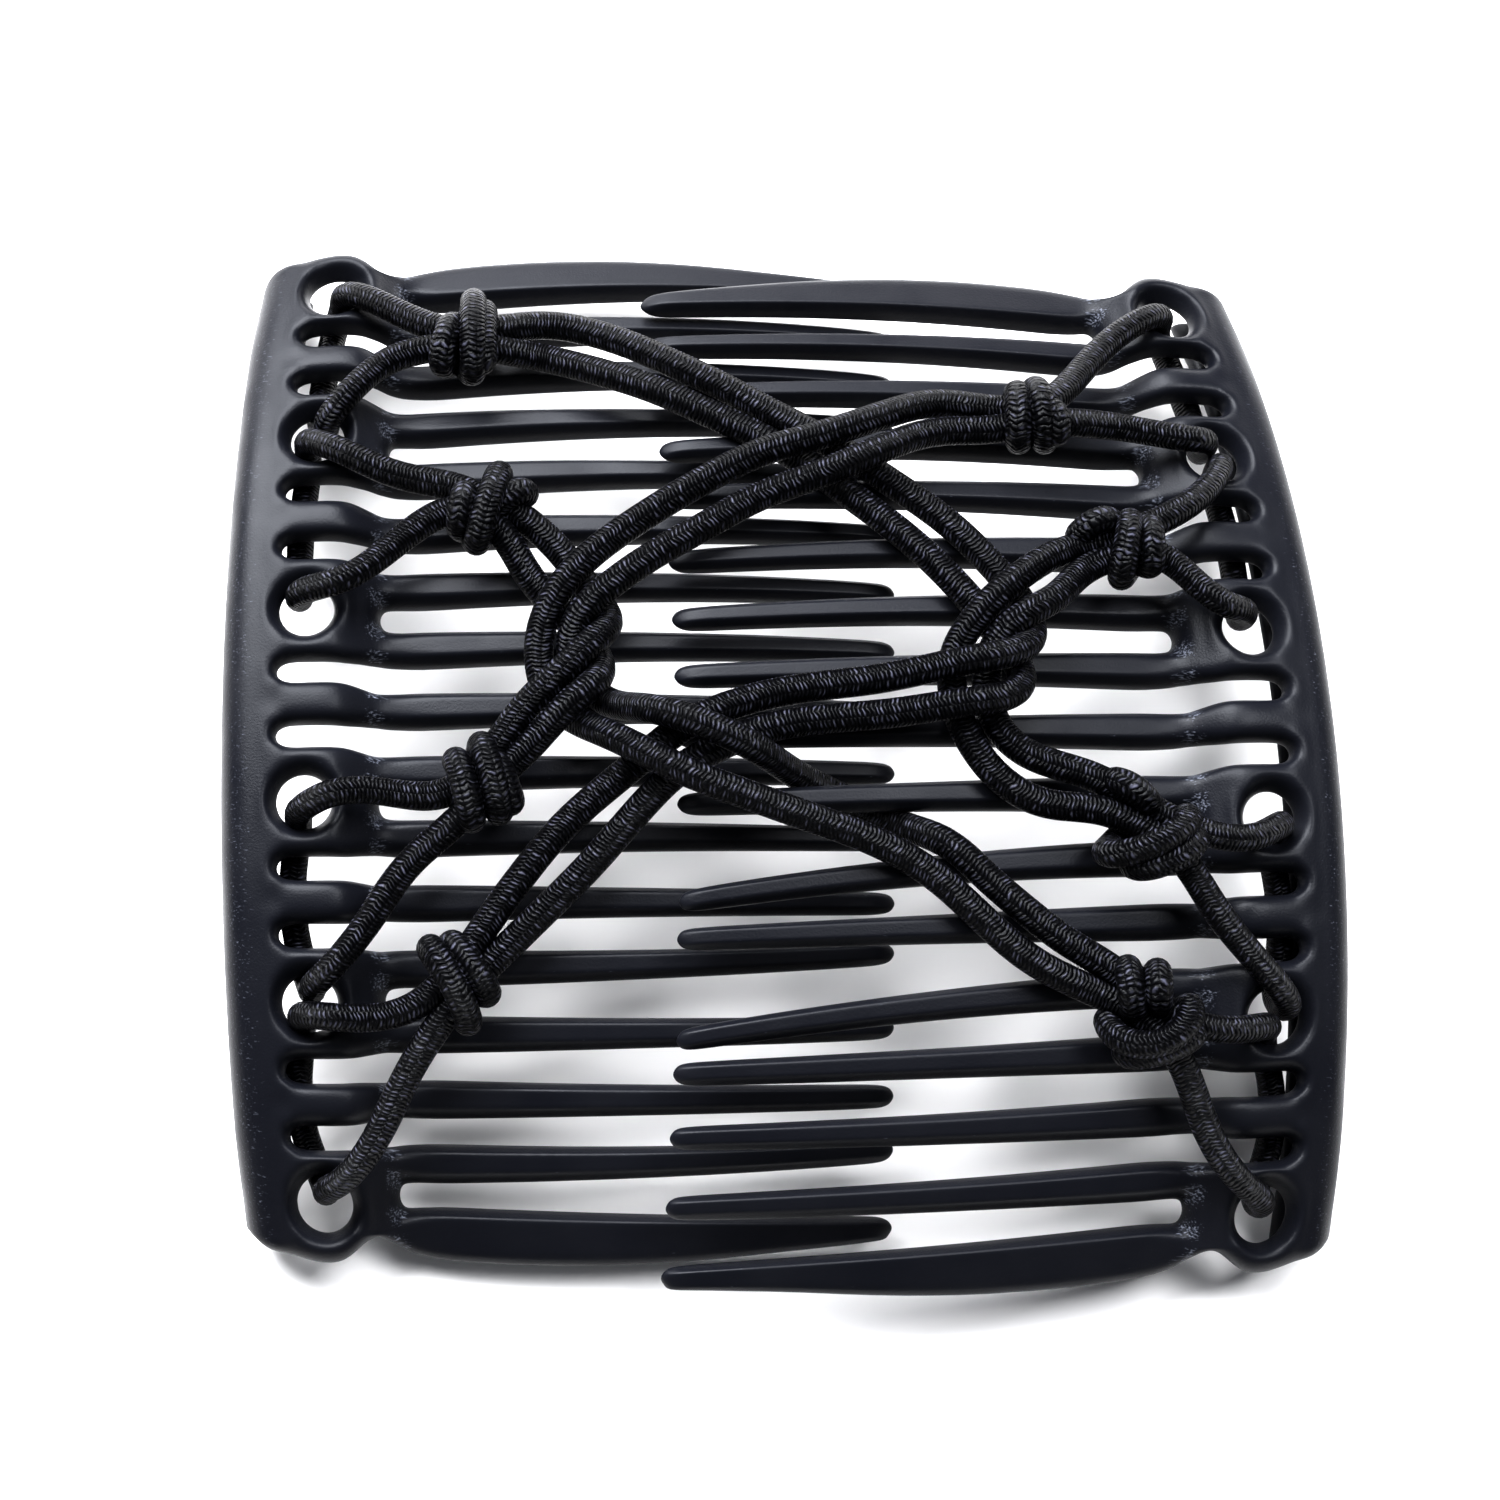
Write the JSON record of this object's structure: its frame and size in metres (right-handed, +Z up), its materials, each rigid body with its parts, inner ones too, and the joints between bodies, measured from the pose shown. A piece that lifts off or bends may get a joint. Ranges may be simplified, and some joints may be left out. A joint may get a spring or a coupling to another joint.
{
  "type": "double hair comb",
  "caption": "Stretchy double hair comb: two curved moulded combs lying tines over tines, joined by knotted loops of round braided elastic.",
  "frame": {"origin": "centre of the object's footprint, on the surface that the two combs rest on, hair side down", "axes": "+X from the lower comb's spine to the upper comb's spine, +Y along the spines towards the end where the first knots are, +Z up, away from the head"},
  "size_m": [0.0998, 0.0986, 0.0269],
  "materials": {
    "moulding": "black moulded plastic, satin to matte, fine mould texture",
    "elastic": "black braided polyester over a rubber core"
  },
  "bodies": {
    "root": {"comb_lower": "moulding", "comb_upper": "moulding", "cord_a_strand_1": "elastic", "cord_a_strand_2": "elastic", "cord_a_end_1": "elastic", "cord_a_end_2": "elastic", "cord_b_strand_1": "elastic", "cord_b_strand_2": "elastic", "cord_b_end_1": "elastic", "cord_b_end_2": "elastic", "cord_c_strand_1": "elastic", "cord_c_strand_2": "elastic", "cord_c_end_1": "elastic", "cord_c_end_2": "elastic", "cord_d_strand_1": "elastic", "cord_d_strand_2": "elastic", "cord_d_end_1": "elastic", "cord_d_end_2": "elastic", "knot_a_1": "elastic", "knot_a_2": "elastic", "knot_b_1": "elastic", "knot_b_2": "elastic", "knot_c_1": "elastic", "knot_c_2": "elastic", "knot_d_1": "elastic", "knot_d_2": "elastic"}
  },
  "joints": []
}
